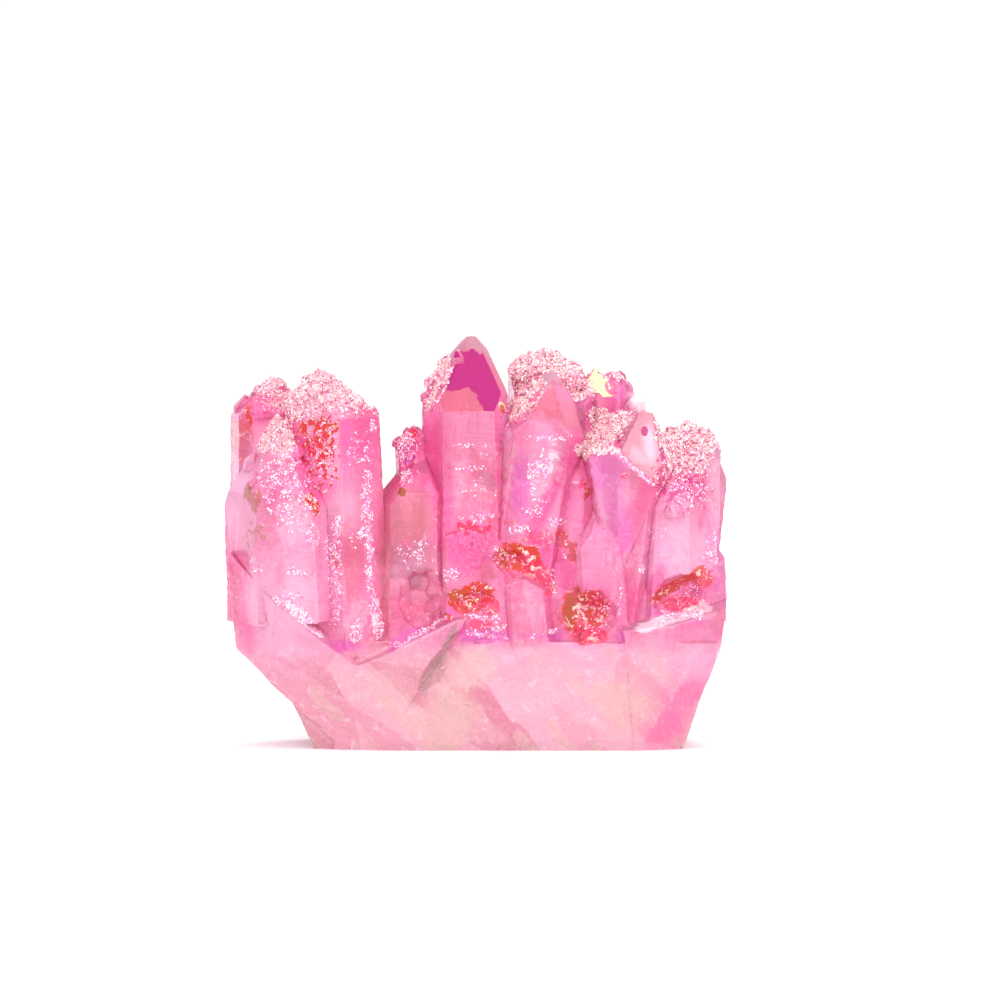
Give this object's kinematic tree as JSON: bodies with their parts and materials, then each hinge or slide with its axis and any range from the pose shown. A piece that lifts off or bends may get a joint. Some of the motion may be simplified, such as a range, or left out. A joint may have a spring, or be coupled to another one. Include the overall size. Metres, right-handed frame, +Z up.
{
  "type": "aura quartz cluster",
  "caption": "Palm-size cluster of coated quartz crystals with drusy crowns, grown together on a broken quartz base that is flat underneath.",
  "frame": {"origin": "under the middle of the cluster's bounding box, on its flat foot", "axes": "+Z up, -Y the front, +X to the right along the cluster's width"},
  "size_m": [0.0694, 0.0322, 0.0566],
  "materials": {
    "aura_quartz": "glossy pink coating with iridescent patches on clear to milky quartz"
  },
  "bodies": {
    "root": {"quartz_cluster": "aura_quartz"}
  },
  "joints": []
}
